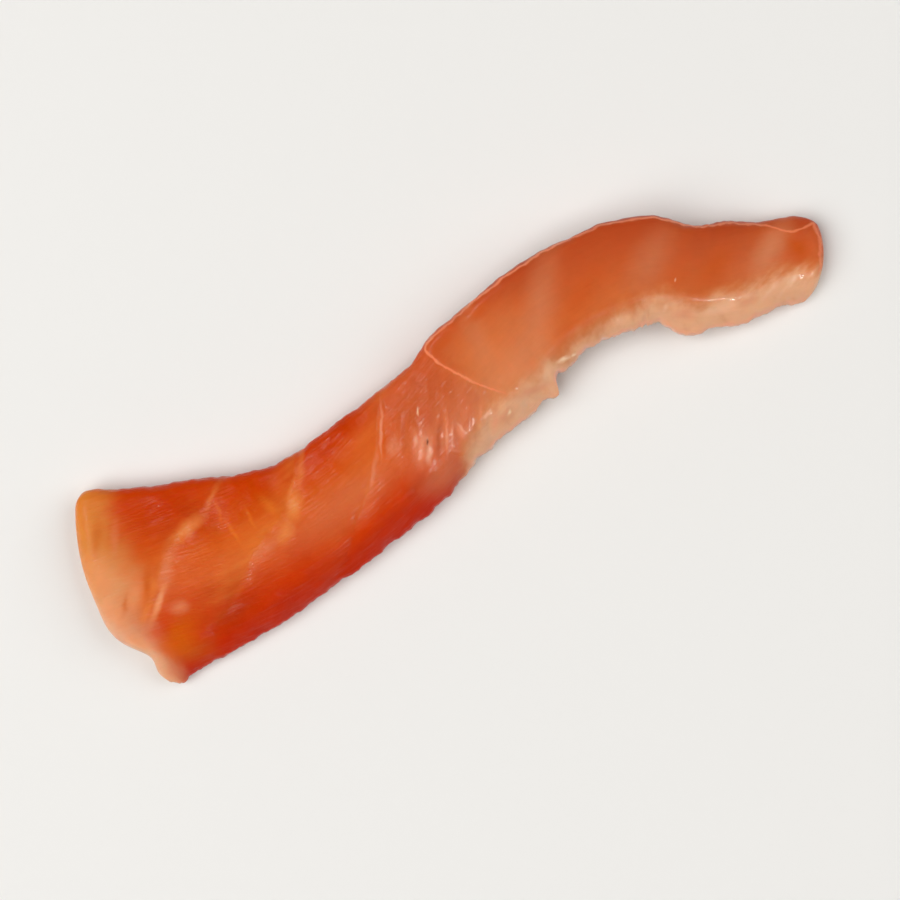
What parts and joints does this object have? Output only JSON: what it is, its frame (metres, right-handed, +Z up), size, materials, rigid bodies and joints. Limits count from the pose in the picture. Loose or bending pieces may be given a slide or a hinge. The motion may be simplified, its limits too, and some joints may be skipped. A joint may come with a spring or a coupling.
{
  "type": "smoked salmon strip",
  "caption": "Long, tapering strip of cold-smoked salmon with a gentle bend, a flat cut face with fine white membranes, and a ragged edge of pale fat along one side.",
  "frame": {"origin": "on the table, under the middle of the strip's outer box", "axes": "+X towards the narrow tip along the length of the outer box, +Z up out of the cut face, +Y towards the cut edge without fat"},
  "size_m": [0.079, 0.0494, 0.0071],
  "materials": {
    "salmon_flesh": "moist orange flesh with pale membranes and a cream edge of fat"
  },
  "bodies": {
    "root": {"salmon_strip": "salmon_flesh"}
  },
  "joints": []
}
